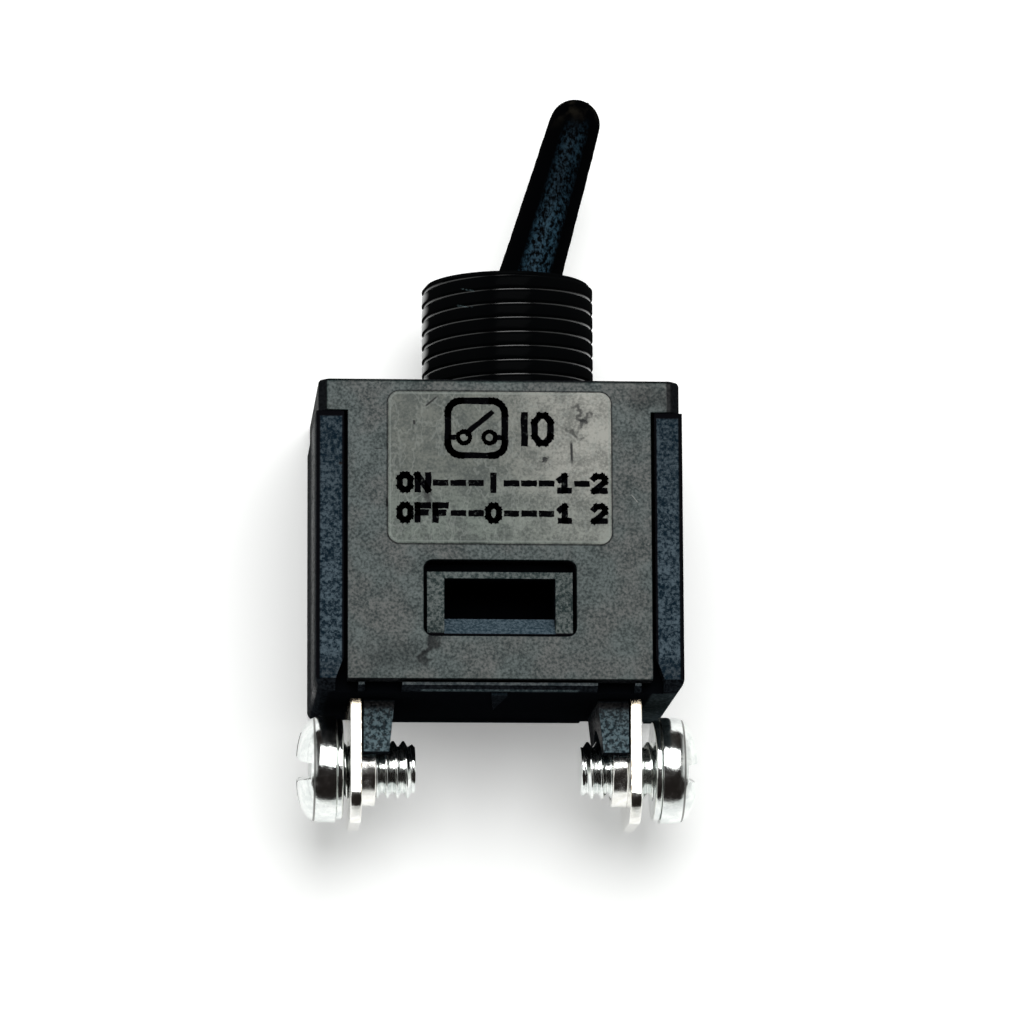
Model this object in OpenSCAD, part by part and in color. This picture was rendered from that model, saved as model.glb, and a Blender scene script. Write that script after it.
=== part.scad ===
// Panel-mount toggle switch with two screw terminals.
// It lies on its back: +X is to the right, +Y runs along the bushing towards the lever, +Z leaves the labelled face.
// The origin is on the bushing's axis, on the panel seat and at the middle of the body's depth.

/* [Body] */
// Width of the base across its two side walls
body_w = 25.1; // [24:0.1:28]
// Depth of the body from its labelled face to its back
body_d = 17; // [16.5:0.1:20]
// Height of the body from the panel seat to the underside
body_h = 21.5; // [21:0.1:25]
// How far the bushing stands to the right of the body's middle
bushing_offset = 1.15; // [0:0.05:1.5]
// Thickness of the base's side walls, which show as rails beside the panels
side_wall = 1.9; // [1.5:0.1:2.2]
// Thickness of the base's front and back walls, behind the panels
end_wall = 1.3; // [1:0.1:1.5]
// Thickness of the base's floor
floor_t = 1.8; // [1.2:0.1:2.4]
// Thickness of the floor's lip below the panels
lip_t = 0.55; // [0.3:0.05:0.8]
// How far the lip and the catches lie behind the panels' faces
recess = 0.4; // [0.2:0.05:0.7]
// Chamfer along the base's lower side edges
base_chamfer = 0.45; // [0.2:0.05:0.5]
// Chamfer along the base's lower front and back edges
foot_chamfer = 0.75; // [0.45:0.05:0.8]

/* [Cover] */
// How far the sides of the cover's top plate stand in from the base's sides
plate_step = 0.15; // [0:0.05:0.5]
// Thickness of the top plate
plate_t = 2.25; // [1.8:0.05:3]
// Chamfer along the top plate's upright edges
plate_chamfer = 0.6; // [0.2:0.05:1]
// Thickness of the two latch panels
panel_t = 1.6; // [1.2:0.1:1.8]
// Gap between a panel and the rail beside it
panel_gap = 0.22; // [0.1:0.02:0.4]
// Gap between moulded faces that slide past each other on assembly
mould_gap = 0.1; // [0.05:0.01:0.2]
// Width of the latch window in each panel
window_w = 10.4; // [8:0.1:12]
// Height of the latch window
window_h = 5.2; // [4:0.1:6]
// Distance from the panel seat down to the window
window_top = 12.6; // [12:0.1:13.5]
// Corner radius of the window
window_r = 0.6; // [0.2:0.1:1]

/* [Bushing] */
// Outside diameter of the bushing's thread
bushing_d = 12; // [11.6:0.1:13]
// Length of the bushing above the panel seat
bushing_len = 8.25; // [7:0.05:10]
// Pitch of the bushing's thread
bushing_pitch = 1; // [0.75:0.05:1.25]
// Diameter of the bore that the lever swings in
bore_d = 7.6; // [7.4:0.1:8]

/* [Catch] */
// Gap between the catch and the window's sides
catch_gap = 0.22; // [0.1:0.02:0.4]
// Gap above the catch
catch_head_gap = 0.75; // [0.4:0.05:1.2]
// Width of the catch's side bars
catch_bar = 1.18; // [0.8:0.02:1.6]
// Width of the catch's top bar
catch_top_bar = 0.45; // [0.3:0.05:0.8]
// Height of the sloped ramp at the foot of the catch
ramp_h = 1.3; // [0.8:0.05:1.6]

/* [Lever] */
// Height of the lever's pivot above the panel seat
pivot_y = 3.5; // [3.2:0.05:4]
// Lean of the lever to either side
lean = 16.3; // [12:0.1:17]
// Length of the lever from the pivot to its tip
lever_len = 19.1; // [16:0.1:24]
// Diameter of the lever at its pivot
lever_root_d = 4.7; // [4:0.1:4.8]
// Diameter of the lever's domed tip
lever_tip_d = 3.56; // [3:0.02:4]
// Diameter of the pivot ball
ball_d = 7; // [6.4:0.1:7]
// Diameter of the lever's hollow lower arm
arm_d = 5.2; // [4.6:0.1:5.4]
// Length of the lower arm below the pivot
arm_len = 8.5; // [7.5:0.1:9]
// Diameter of the pivot pin
pin_d = 2; // [1.6:0.1:2.2]
// Length of the pivot pin
pin_len = 9.8; // [9:0.1:9.8]
// Running clearance on a radius
running = 0.04; // [0.02:0.01:0.08]

/* [Plunger] */
// Diameter of the plunger in the lever's bore
plunger_d = 3; // [2.6:0.1:3.4]
// Length of the plunger
plunger_len = 5; // [4:0.1:6]
// Diameter of the plunger's round nose
nose_d = 2.4; // [1.8:0.1:2.6]
// Distance from the pivot to the end of the nose
plunger_reach = 11; // [10.4:0.1:11.4]
// Solid length left between the pivot and the end of the bore
bore_web = 1.8; // [1.4:0.1:2.4]
// Wire diameter of the spring
wire_d = 0.36; // [0.25:0.01:0.45]
// Turns of the spring
spring_turns = 6; // [4:1:7]

/* [Rocker] */
// Distance from the lever's pivot down to the blade's fulcrum
fulcrum_drop = 12; // [11.6:0.1:12.6]
// Tilt of the blade to either side
tilt = 8; // [6:0.1:9]
// Thickness of the blade
blade_t = 0.7; // [0.5:0.05:0.8]
// Width of the blade
blade_w = 4.8; // [4:0.1:6]
// Distance from the fulcrum to the moving contact
contact_arm = 5.6; // [5.2:0.1:6]
// Diameter of the contact buttons
contact_d = 2.8; // [2.4:0.1:3.2]
// Thickness of the fixed contact button
contact_t = 0.6; // [0.4:0.05:0.8]
// Gap left between pieces that press on each other
seat_gap = 0.05; // [0.03:0.01:0.08]

/* [Terminals] */
// Distance from a side of the base to the middle of the tab on that side
tab_inset = 2.93; // [2.8:0.01:3.2]
// Thickness of the terminal strip
strip_t = 0.8; // [0.6:0.05:1]
// Width of a tab
tab_w = 8.4; // [7.6:0.1:9.4]
// Length of a tab below the body
tab_len = 8.4; // [8:0.1:10]
// Corner cut at the end of a tab
tab_corner = 1.4; // [0.5:0.1:2]
// Distance from the underside of the body to the screw axes
screw_drop = 4.4; // [4.2:0.05:4.6]
// Diameter of the threaded collar drawn out of a tab
collar_d = 5.1; // [4.8:0.05:5.4]
// Length of that collar
collar_len = 1.05; // [0.6:0.05:1.6]
// Width of the strip inside the body
inner_w = 5; // [4:0.1:7]
// Thickness of a leg at its root
leg_t = 2.15; // [1.6:0.05:2.6]
// Thickness of a leg at its end
leg_end_t = 1.75; // [1.2:0.05:2]
// Length of a leg
leg_len = 3.7; // [3:0.1:4.2]

/* [Screws] */
// Thread diameter of the terminal screws
screw_d = 4; // [3.5:0.1:4.2]
// Length of a screw under its head
screw_len = 5.5; // [5:0.1:8]
// Diameter of a screw's head
head_d = 7.4; // [6.5:0.1:8]
// Height of a screw's head
head_h = 2.7; // [2:0.1:3]
// Width of the head's slot
slot_w = 1.1; // [0.8:0.05:1.3]
// Depth of the head's slot
slot_depth = 1.2; // [0.8:0.05:1.4]
// Diameter of a washer
washer_d = 7; // [6:0.1:8]
// Thickness of a washer
washer_t = 0.5; // [0.3:0.05:0.8]
// Gap left for a wire between the left tab and its washer
left_gap = 0.4; // [0.3:0.05:1.5]
// Gap left for a wire between the right tab and its washer
right_gap = 1.05; // [0.3:0.05:1.5]

/* [Label] */
// Width of the label
label_w = 15.3; // [10:0.1:18]
// Height of the label
label_h = 10.55; // [8:0.05:11]
// Distance from the panel seat down to the label
label_top = 0.9; // [0.4:0.05:1.4]
// Corner radius of the label
label_r = 0.8; // [0.3:0.1:1.5]
// Thickness of the label film
label_t = 0.1; // [0.06:0.01:0.15]

/* [Hidden] */
$fn = 96;
past = 1;          // how far a cut runs past a face
joined = 0.2;      // how far moulded shapes run into each other

mid_x = -bushing_offset;
cover_w = body_w - 2 * plate_step;
tab_pitch = body_w - 2 * tab_inset;            // from the middle of one tab to the other's
front_z = body_d / 2;
wall_x = body_w / 2 - side_wall;               // inner face of a side wall, from the middle
panel_half = wall_x - panel_gap;
panel_end = body_h - lip_t - mould_gap * 1.5;  // lower edge of a panel, below the seat
end_outer = front_z - panel_t - mould_gap;     // outer face of the base's front and back walls
cavity_z = end_outer - end_wall;
base_top = -plate_t - mould_gap / 2;
floor_y = floor_t - body_h;

thread_groove = bushing_pitch * 0.4;
bushing_chamfer = thread_groove;
bushing_root_d = bushing_d - 2 * thread_groove;
crest_w = bushing_pitch * 0.5;
root_w = bushing_pitch * 0.1;
groove_count = floor((bushing_len - bushing_chamfer) / bushing_pitch);

window_y = -window_top - window_h / 2;
catch_half = window_w / 2 - catch_gap;
catch_top = -window_top - catch_head_gap;
catch_foot = -window_top - window_h + mould_gap;
catch_face = front_z - recess;
hole_half = catch_half - catch_bar;
notch_in = tab_pitch / 2 - strip_t / 2 - leg_t - joined * 2;   // the lip's notches lie in front of the legs
notch_out = tab_pitch / 2 - strip_t / 2;

pin_slot_z = pin_len / 2 + mould_gap;
arm_swing = (pivot_y + plate_t) * tan(lean) + arm_d / 2 / cos(lean);   // reach of the lower arm at the plate
flare_r = arm_swing + 0.35;
lever_bore_d = plunger_d + 2 * running;
plunger_top = plunger_reach - plunger_len;
nose_at = plunger_reach - nose_d / 2;          // from the pivot to the middle of the nose

// Path of the nose as the blade sees it: level in the middle and at rest, and the round trough that clears it
fulcrum_y = pivot_y - fulcrum_drop;
nose_mid = fulcrum_drop - nose_at;
rest_x = -nose_at * sin(lean);
rest_y = fulcrum_drop - nose_at * cos(lean);
rest_t = rest_x * cos(tilt) + rest_y * sin(tilt);
rest_h = rest_y * cos(tilt) - rest_x * sin(tilt);
trough_mid = (rest_t * rest_t + rest_h * rest_h - nose_mid * nose_mid) / (2 * (rest_h - nose_mid));
trough_r = trough_mid - nose_mid + nose_d / 2 + seat_gap;
trough_half = 32;                              // half angle of the trough
wing_t = (trough_r + blade_t / 2) * sin(trough_half);
wing_h = trough_mid - (trough_r + blade_t / 2) * cos(trough_half);   // middle of the blade's flat wings
edge_r = strip_t / 2;                          // round edge of the fulcrum
button_h = 0.45;                               // straight part of the moving contact
button_dome = 0.25;
dome_r = (contact_d * contact_d / 4 + button_dome * button_dome) / (2 * button_dome);
dome_mid = wing_h - blade_t / 2 - button_h - button_dome + dome_r;
touch_x = contact_arm * cos(tilt) + dome_mid * sin(tilt);   // where the closed contacts meet
touch_y = fulcrum_y - contact_arm * sin(tilt) + dome_mid * cos(tilt) - dome_r;
strip_top = touch_y - 2 * seat_gap - contact_t;
bend_in = strip_t / 2;                         // inner radius of the strips' bends
rivet_d = contact_d * 0.55;

left_tab = mid_x - tab_pitch / 2;
right_tab = mid_x + tab_pitch / 2;
screw_y = -body_h - screw_drop;
left_seat = strip_t / 2 + left_gap;            // inner face of a washer, from the middle of its tab
right_seat = strip_t / 2 + right_gap;
rim_h = head_h * 0.22;                         // straight rim under a head's dome
leg_notch_r = collar_d / 2 + mould_gap * 2;
web_w = inner_w * 0.36;                        // thickness of the web under the strips

// Draws a profile of x and z, and runs it along Y
module along_y(from, to) {
    rotate([-90, 0, 0]) translate([0, 0, from]) linear_extrude(to - from) children();
}

// Draws a profile of z and y, and runs it along X
module along_x(from, to) {
    rotate([0, 90, 0]) translate([0, 0, from]) linear_extrude(to - from) children();
}

// Runs a profile of x and y through the whole depth between two faces
module along_z(from, to) {
    translate([0, 0, from]) linear_extrude(to - from) children();
}

// Turns a shape made along +Z so that it stands on the bushing's axis
module upright() {
    rotate([-90, 0, 0]) children();
}

// A shape made along the lever, with the pivot at 0 and +Z towards the tip
module on_lever() {
    translate([0, pivot_y, 0]) rotate([0, 0, -lean]) upright() children();
}

// A shape made on the level blade, with the fulcrum at 0
module on_blade() {
    translate([0, fulcrum_y, 0]) rotate([0, 0, tilt]) children();
}

// A shape made along +Z, laid along a terminal's screw axis with +Z outwards; side is -1 for left and 1 for right
module on_tab(side) {
    translate([mid_x + side * tab_pitch / 2, screw_y, 0]) rotate([0, side * 90, 0]) children();
}

module block(low, high) {
    translate(low) cube(high - low);
}

// Rounded rectangle about its own middle
module rounded(w, h, r) {
    square([w - 2 * r, h], center = true);
    square([w, h - 2 * r], center = true);
    for (x = [-1, 1], y = [-1, 1]) translate([x * (w / 2 - r), y * (h / 2 - r)]) circle(r);
}

// Rectangle with its four corners cut off
module cut_corners(w, h, c) {
    polygon([[-w / 2 + c, -h / 2], [w / 2 - c, -h / 2], [w / 2, -h / 2 + c], [w / 2, h / 2 - c],
        [w / 2 - c, h / 2], [-w / 2 + c, h / 2], [-w / 2, h / 2 - c], [-w / 2, -h / 2 + c]]);
}

// Bushing: chamfered end, and ring grooves at the thread's pitch
module bushing() {
    upright() difference() {
        union() {
            translate([0, 0, -joined]) cylinder(d = bushing_d, h = bushing_len - bushing_chamfer + joined);
            translate([0, 0, bushing_len - bushing_chamfer])
                cylinder(d1 = bushing_d, d2 = bushing_root_d, h = bushing_chamfer);
        }
        for (i = [0 : groove_count - 1]) translate([0, 0, (i + 0.5) * bushing_pitch]) rotate_extrude()
            polygon([[bushing_root_d / 2, -root_w / 2], [bushing_d / 2, (crest_w - bushing_pitch) / 2],
                [bushing_d / 2 + past, (crest_w - bushing_pitch) / 2],
                [bushing_d / 2 + past, (bushing_pitch - crest_w) / 2],
                [bushing_d / 2, (bushing_pitch - crest_w) / 2], [bushing_root_d / 2, root_w / 2]]);
    }
}

// Bore of the bushing, wider below for the lever's lower arm, with two slots for the pivot pin
module lever_way() {
    upright() {
        cylinder(d = bore_d, h = bushing_len + past);
        translate([0, 0, -plate_t]) cylinder(r1 = flare_r, r2 = bore_d / 2, h = plate_t);
        translate([0, 0, -plate_t - past]) cylinder(r = flare_r, h = past + 0.001);
    }
    pin_way = pin_d / 2 + running;
    block([-pin_way, -plate_t - past, -pin_slot_z], [pin_way, pivot_y, pin_slot_z]);
    translate([0, pivot_y, -pin_slot_z]) cylinder(r = pin_way, h = 2 * pin_slot_z);
}

module cover() {
    color([0.13, 0.13, 0.135]) difference() {
        union() {
            along_y(-plate_t, 0) translate([mid_x, 0]) cut_corners(cover_w, body_d, plate_chamfer);
            for (side = [-1, 1]) scale([1, 1, side]) block([mid_x - panel_half, -panel_end, front_z - panel_t],
                [mid_x + panel_half, -plate_t + joined, front_z]);
            bushing();
        }
        lever_way();
        along_z(-front_z - past, front_z + past) translate([mid_x, window_y]) rounded(window_w, window_h, window_r);
    }
}

// Snap catch of the front wall: a raised frame in the panel's window
module catch_frame() {
    block([mid_x - catch_half, catch_foot, end_outer - joined], [mid_x + catch_half, catch_top, catch_face]);
}

// Opening in that frame, closed below by the ramp that the panel rides over
module catch_hole() {
    along_x(mid_x - hole_half, mid_x + hole_half)
        polygon([[past - cavity_z, catch_top - catch_top_bar], [-front_z - past, catch_top - catch_top_bar],
            [-front_z - past, catch_foot], [-catch_face, catch_foot], [-end_outer, catch_foot + ramp_h],
            [past - cavity_z, catch_foot + ramp_h]]);
}

// Leg beside a tab, forked round the collar and the screw
module leg(side) {
    root = tab_pitch / 2 - strip_t / 2 - mould_gap;
    translate([mid_x, 0, 0]) scale([side, 1, 1]) difference() {
        along_z(-tab_w / 2, tab_w / 2)
            polygon([[root, joined - body_h], [root - leg_t, joined - body_h], [root - leg_t, -body_h],
                [root - leg_end_t, -body_h - leg_len], [root, -body_h - leg_len]]);
        translate([0, screw_y, 0]) rotate([0, 90, 0]) cylinder(r = leg_notch_r, h = body_w);
        block([0, screw_y - body_h, -leg_notch_r], [body_w, screw_y, leg_notch_r]);
    }
}

// Outer form of the base: lower edges chamfered all round
module base_form() {
    intersection() {
        along_z(-front_z, front_z)
            polygon([[mid_x - body_w / 2, base_top], [mid_x + body_w / 2, base_top],
                [mid_x + body_w / 2, base_chamfer - body_h], [mid_x + body_w / 2 - base_chamfer, -body_h],
                [mid_x - body_w / 2 + base_chamfer, -body_h], [mid_x - body_w / 2, base_chamfer - body_h]]);
        along_x(mid_x - body_w, mid_x + body_w)
            polygon([[-front_z, base_top], [front_z, base_top], [front_z, foot_chamfer - body_h],
                [front_z - foot_chamfer, -body_h], [foot_chamfer - front_z, -body_h], [-front_z, foot_chamfer - body_h]]);
    }
}

// What the panels, the lip and its notches take off the base's front
module front_relief() {
    block([mid_x - wall_x, -panel_end - mould_gap * 1.5, end_outer], [mid_x + wall_x, past, front_z + past]);
    block([mid_x - wall_x, -body_h - past, front_z - recess], [mid_x + wall_x, past, front_z + past]);
    for (side = [-1, 1]) translate([mid_x, 0, 0]) scale([side, 1, 1]) {
        block([notch_in, -body_h - past, end_outer], [notch_out, past, front_z + past]);
        along_z(end_outer, front_z + past)   // slanted foot of the rail's inner edge
            polygon([[wall_x - past, -panel_end + side_wall * 0.8], [wall_x, -panel_end + side_wall * 0.8],
                [wall_x + side_wall * 0.3, -panel_end], [wall_x + side_wall * 0.3, -body_h - past],
                [wall_x - past, -body_h - past]]);
    }
}

// Small moulded arrow under the floor
module floor_mark() {
    along_y(-body_h - lip_t / 2, joined - body_h)
        polygon([[mid_x - lip_t, foot_chamfer - front_z + lip_t], [mid_x + lip_t, foot_chamfer - front_z + lip_t],
            [mid_x, -lip_t]]);
}

module base() {
    slot_half = strip_t / 2 + seat_gap / 2;
    color([0.09, 0.1, 0.115]) {
        difference() {
            union() {
                difference() {
                    base_form();
                    block([mid_x - wall_x, floor_y, -cavity_z], [mid_x + wall_x, past, cavity_z]);
                    for (face = [-1, 1]) scale([1, 1, face]) front_relief();
                }
                for (face = [-1, 1]) scale([1, 1, face]) catch_frame();
                for (side = [-1, 1]) leg(side);
                floor_mark();
                block([left_tab + strip_t, floor_y - joined, -web_w / 2],   // web that carries both strips
                    [right_tab - strip_t, strip_top - strip_t, web_w / 2]);
            }
            for (face = [-1, 1]) scale([1, 1, face]) catch_hole();
            for (x = [left_tab, right_tab]) block([x - slot_half, -body_h - past, -tab_w / 2 - seat_gap / 2],
                [x + slot_half, floor_y + past, tab_w / 2 + seat_gap / 2]);
        }
    }
}

module rating_label() {
    color([0.3, 0.3, 0.29]) along_z(front_z, front_z + label_t)
        translate([mid_x, -label_top - label_h / 2]) rounded(label_w, label_h, label_r);
}

module lever() {
    color([0.05, 0.055, 0.065]) on_lever() difference() {
        union() {
            cylinder(d1 = lever_root_d, d2 = lever_tip_d, h = lever_len - lever_tip_d / 2);
            translate([0, 0, lever_len - lever_tip_d / 2]) sphere(d = lever_tip_d);
            sphere(d = ball_d);
            translate([0, 0, -arm_len]) cylinder(d = arm_d, h = arm_len);
        }
        translate([0, 0, -arm_len - past]) cylinder(d = lever_bore_d, h = arm_len + past - bore_web);
        rotate([90, 0, 0]) cylinder(d = pin_d, h = ball_d + past, center = true);
    }
}

module pivot_pin() {
    color("silver") translate([0, pivot_y, 0]) cylinder(d = pin_d, h = pin_len, center = true);
}

// Rings of points round a helix, joined into one closed coil
coil_r = plunger_d / 2 - wire_d / 2 - running;
coil_from = -plunger_top + wire_d / 2;
coil_to = -bore_web - wire_d / 2;
coil_steps = 20;
wire_sides = 8;
coil_rings = spring_turns * coil_steps;
function coil_point(i, j) =
    let (a = 360 * i / coil_steps, b = 360 * j / wire_sides, r = coil_r + wire_d / 2 * cos(b))
    [r * cos(a), r * sin(a), coil_from + (coil_to - coil_from) * i / coil_rings + wire_d / 2 * sin(b)];

module lever_spring() {
    last = coil_rings * wire_sides;
    color("gainsboro") on_lever() polyhedron(
        points = [for (i = [0 : coil_rings], j = [0 : wire_sides - 1]) coil_point(i, j)],
        faces = concat(
            [[for (j = [0 : wire_sides - 1]) j]],
            [for (i = [0 : coil_rings - 1], j = [0 : wire_sides - 1])
                let (a = i * wire_sides, n = (j + 1) % wire_sides)
                [a + j, a + wire_sides + j, a + wire_sides + n, a + n]],
            [[for (j = [wire_sides - 1 : -1 : 0]) last + j]]));
}

module plunger() {
    neck = nose_at - nose_d / 2;
    color([0.75, 0.72, 0.62]) on_lever() {
        translate([0, 0, -neck]) cylinder(d = plunger_d, h = neck - plunger_top);
        translate([0, 0, -nose_at]) cylinder(d = nose_d, h = nose_d / 2 + joined);
        translate([0, 0, -nose_at]) sphere(d = nose_d);
    }
}

// Outline of the level blade: a round trough with flat wings and a groove for the fulcrum
module blade_outline() {
    difference() {
        union() {
            translate([0, trough_mid]) intersection() {
                difference() {
                    circle(trough_r + blade_t);
                    circle(trough_r);
                }
                polygon([[0, 0], [-2 * trough_r * tan(trough_half), -2 * trough_r],
                    [2 * trough_r * tan(trough_half), -2 * trough_r]]);
            }
            translate([wing_t - joined, wing_h - blade_t / 2])
                square([contact_arm + contact_d / 2 - wing_t + joined, blade_t]);
            translate([-wing_t - blade_t, wing_h - blade_t / 2]) square([blade_t + joined, blade_t]);
        }
        circle(edge_r + seat_gap);
    }
}

module rocker_arm() {
    color([0.8, 0.58, 0.3]) on_blade() difference() {
        along_z(-blade_w / 2, blade_w / 2) blade_outline();
        translate([contact_arm, 0, 0]) upright() cylinder(d = rivet_d, h = 2 * trough_r);
    }
}

module moving_contact() {
    under = wing_h - blade_t / 2;
    color([0.85, 0.85, 0.83]) on_blade() translate([contact_arm, 0, 0]) upright() {
        translate([0, 0, under - button_h]) cylinder(d = contact_d, h = button_h);
        intersection() {
            translate([0, 0, dome_mid]) sphere(dome_r);
            translate([0, 0, under - button_h - button_dome]) cylinder(d = contact_d, h = button_dome + button_h / 2);
        }
        translate([0, 0, under - joined]) cylinder(d = rivet_d, h = blade_t + joined);
    }
}

module fixed_contact() {
    color([0.85, 0.85, 0.83]) translate([touch_x, strip_top, 0]) upright() {
        cylinder(d = contact_d, h = contact_t);
        translate([0, 0, -strip_t]) cylinder(d = rivet_d, h = strip_t + joined);
    }
}

// Block of x and y with its corner at 0 rounded, running to the right and down
module round_corner(w, h, r) {
    translate([r, -h]) square([w - r, h]);
    translate([0, -h]) square([w, h - r]);
    translate([r, -r]) circle(r);
}

// Strip inside the body: it rises from the floor and bends inwards to its reach
module strip(side, reach) {
    rise = strip_top - floor_y + joined;
    translate([mid_x + side * (tab_pitch / 2 + strip_t / 2), strip_top]) scale([-side, 1]) difference() {
        round_corner(reach, rise, bend_in + strip_t);
        translate([strip_t, -strip_t]) round_corner(reach, rise, bend_in);
    }
}

// Tab outside the body, with the threaded collar drawn out of it on the inner side
module tab(side) {
    foot = -body_h - tab_len;
    difference() {
        union() {
            translate([mid_x + side * tab_pitch / 2, 0, 0]) along_x(-strip_t / 2, strip_t / 2)
                polygon([[-tab_w / 2, floor_y], [tab_w / 2, floor_y], [tab_w / 2, foot + tab_corner],
                    [tab_w / 2 - tab_corner, foot], [tab_corner - tab_w / 2, foot], [-tab_w / 2, foot + tab_corner]]);
            on_tab(side) translate([0, 0, -strip_t / 2 - collar_len]) cylinder(d = collar_d, h = collar_len + joined);
        }
        on_tab(side) cylinder(d = screw_d + 2 * running, h = body_w, center = true);
    }
}

module common_terminal() {
    color([0.82, 0.8, 0.74]) {
        tab(-1);
        along_z(-inner_w / 2, inner_w / 2) {
            strip(-1, edge_r - left_tab + strip_t / 2);
            translate([-edge_r, strip_top - joined]) square([2 * edge_r, fulcrum_y - strip_top + joined]);
            translate([0, fulcrum_y]) circle(edge_r);
        }
    }
}

module load_terminal() {
    color([0.82, 0.8, 0.74]) {
        tab(1);
        difference() {
            along_z(-inner_w / 2, inner_w / 2)
                strip(1, right_tab + strip_t / 2 - touch_x + contact_d / 2 + joined);
            translate([touch_x, strip_top, 0]) upright() cylinder(d = rivet_d, h = 4 * strip_t, center = true);
        }
    }
}

// Pan-head screw along +Z, with its head's underside at 0
module pan_screw() {
    crown = [for (angle = [0 : 7.5 : 90]) [head_d / 2 * cos(angle), rim_h + (head_h - rim_h) * sin(angle)]];
    chamfer = screw_d / 10;
    color([0.83, 0.84, 0.85]) {
        difference() {
            rotate_extrude() polygon(concat([[0, 0], [head_d / 2, 0]], crown));
            translate([-slot_w / 2, -head_d, head_h - slot_depth]) cube([slot_w, 2 * head_d, head_h]);
            translate([-head_d * 0.3, -slot_w / 2, head_h - slot_depth]) cube([head_d * 0.6, slot_w, head_h]);
        }
        translate([0, 0, chamfer - screw_len]) cylinder(d = screw_d, h = screw_len - chamfer + joined);
        translate([0, 0, -screw_len]) cylinder(d1 = screw_d - 2 * chamfer, d2 = screw_d, h = chamfer);
    }
}

module flat_washer() {
    color([0.78, 0.8, 0.8]) difference() {
        cylinder(d = washer_d, h = washer_t);
        translate([0, 0, -past]) cylinder(d = screw_d + 4 * running, h = washer_t + 2 * past);
    }
}

module screw_left() { on_tab(-1) translate([0, 0, left_seat + washer_t]) rotate([0, 0, 90]) pan_screw(); }
module screw_right() { on_tab(1) translate([0, 0, right_seat + washer_t]) rotate([0, 0, 90]) pan_screw(); }
module washer_left() { on_tab(-1) translate([0, 0, left_seat]) flat_washer(); }
module washer_right() { on_tab(1) translate([0, 0, right_seat]) flat_washer(); }

cover();
base();
rating_label();
lever();
pivot_pin();
lever_spring();
plunger();
rocker_arm();
moving_contact();
fixed_contact();
common_terminal();
load_terminal();
screw_left();
screw_right();
washer_left();
washer_right();
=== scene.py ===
import bpy
import bmesh
import math
from mathutils import Matrix, Vector, noise


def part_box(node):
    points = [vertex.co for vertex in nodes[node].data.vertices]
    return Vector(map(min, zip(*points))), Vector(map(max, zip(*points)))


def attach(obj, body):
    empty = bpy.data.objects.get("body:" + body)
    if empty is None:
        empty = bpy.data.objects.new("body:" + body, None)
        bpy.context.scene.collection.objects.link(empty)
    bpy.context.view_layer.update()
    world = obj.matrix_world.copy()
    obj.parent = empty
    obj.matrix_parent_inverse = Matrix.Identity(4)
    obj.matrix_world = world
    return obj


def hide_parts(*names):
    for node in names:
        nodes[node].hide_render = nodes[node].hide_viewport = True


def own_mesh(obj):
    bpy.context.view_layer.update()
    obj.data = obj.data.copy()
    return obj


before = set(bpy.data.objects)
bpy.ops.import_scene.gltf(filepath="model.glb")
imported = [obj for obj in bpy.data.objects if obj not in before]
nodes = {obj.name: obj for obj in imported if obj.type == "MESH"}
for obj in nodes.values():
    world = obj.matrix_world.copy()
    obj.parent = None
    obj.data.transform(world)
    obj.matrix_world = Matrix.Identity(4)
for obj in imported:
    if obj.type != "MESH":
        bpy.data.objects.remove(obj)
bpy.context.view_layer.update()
mm = 0.001
bodyMiddle = -1.15   # x of the body's middle in millimetres; the bushing's axis is x 0
print("frame loaded")


class Wire:
    # a shader socket that takes arithmetic
    def __init__(self, tree, socket=None):
        self.tree = tree
        self.socket = socket

    def node(self, kind, settings, inputs, out=0):
        made = self.tree.nodes.new("ShaderNode" + kind)
        for key, value in settings.items():
            setattr(made, key, value)
        for key, value in inputs.items():
            if isinstance(value, Wire):
                self.tree.links.new(value.socket, made.inputs[key])
            else:
                made.inputs[key].default_value = value
        return Wire(self.tree, made.outputs[out])

    def into(self, shader, key):
        self.tree.links.new(self.socket, shader.inputs[key])

    def __add__(self, other):
        return self.node("Math", {"operation": "ADD"}, {0: self, 1: other})

    def __sub__(self, other):
        return self.node("Math", {"operation": "SUBTRACT"}, {0: self, 1: other})

    def __rsub__(self, other):
        return self.node("Math", {"operation": "SUBTRACT"}, {0: other, 1: self})

    def __mul__(self, other):
        return self.node("Math", {"operation": "MULTIPLY"}, {0: self, 1: other})

    def __abs__(self):
        return self.node("Math", {"operation": "ABSOLUTE"}, {0: self})

    __radd__ = __add__
    __rmul__ = __mul__


def startMaterial(name, constants):
    material = bpy.data.materials.new(name)
    material.use_nodes = True
    tree = material.node_tree
    shader = tree.nodes["Principled BSDF"]
    for key, value in constants.items():
        shader.inputs[key].default_value = value
    spot = Wire(tree).node("TexCoord", {}, {}, "Object")
    return material, shader, spot


def startPlastic(name, coatRough):
    # moulded plastic, which shines through its coat alone
    return startMaterial(name, {"Specular IOR Level": 0.0, "Coat Roughness": coatRough})


def ramp(value, low, high):
    # 0 at low, 1 at high, smooth between
    return value.node("MapRange", {"interpolation_type": "SMOOTHSTEP"},
                      {"Value": value, "From Min": low, "From Max": high})


def cloud(spot, size, detail=2.0, roughness=0.5):
    # noise with patches of about size in millimetres
    return spot.node("TexNoise", {}, {"Vector": spot, "Scale": 1.0 / (size * mm), "Detail": detail,
                                      "Roughness": roughness})


def turned(spot, angle, stretch):
    return spot.node("Mapping", {}, {"Vector": spot, "Rotation": (0.0, 0.0, math.radians(angle)),
                                     "Scale": stretch})


def tint(factor, first, second):
    shades = [item if isinstance(item, Wire) else (*item, 1.0) for item in (first, second)]
    return factor.node("Mix", {"data_type": "RGBA"}, {0: factor, 6: shades[0], 7: shades[1]}, 2)


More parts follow.
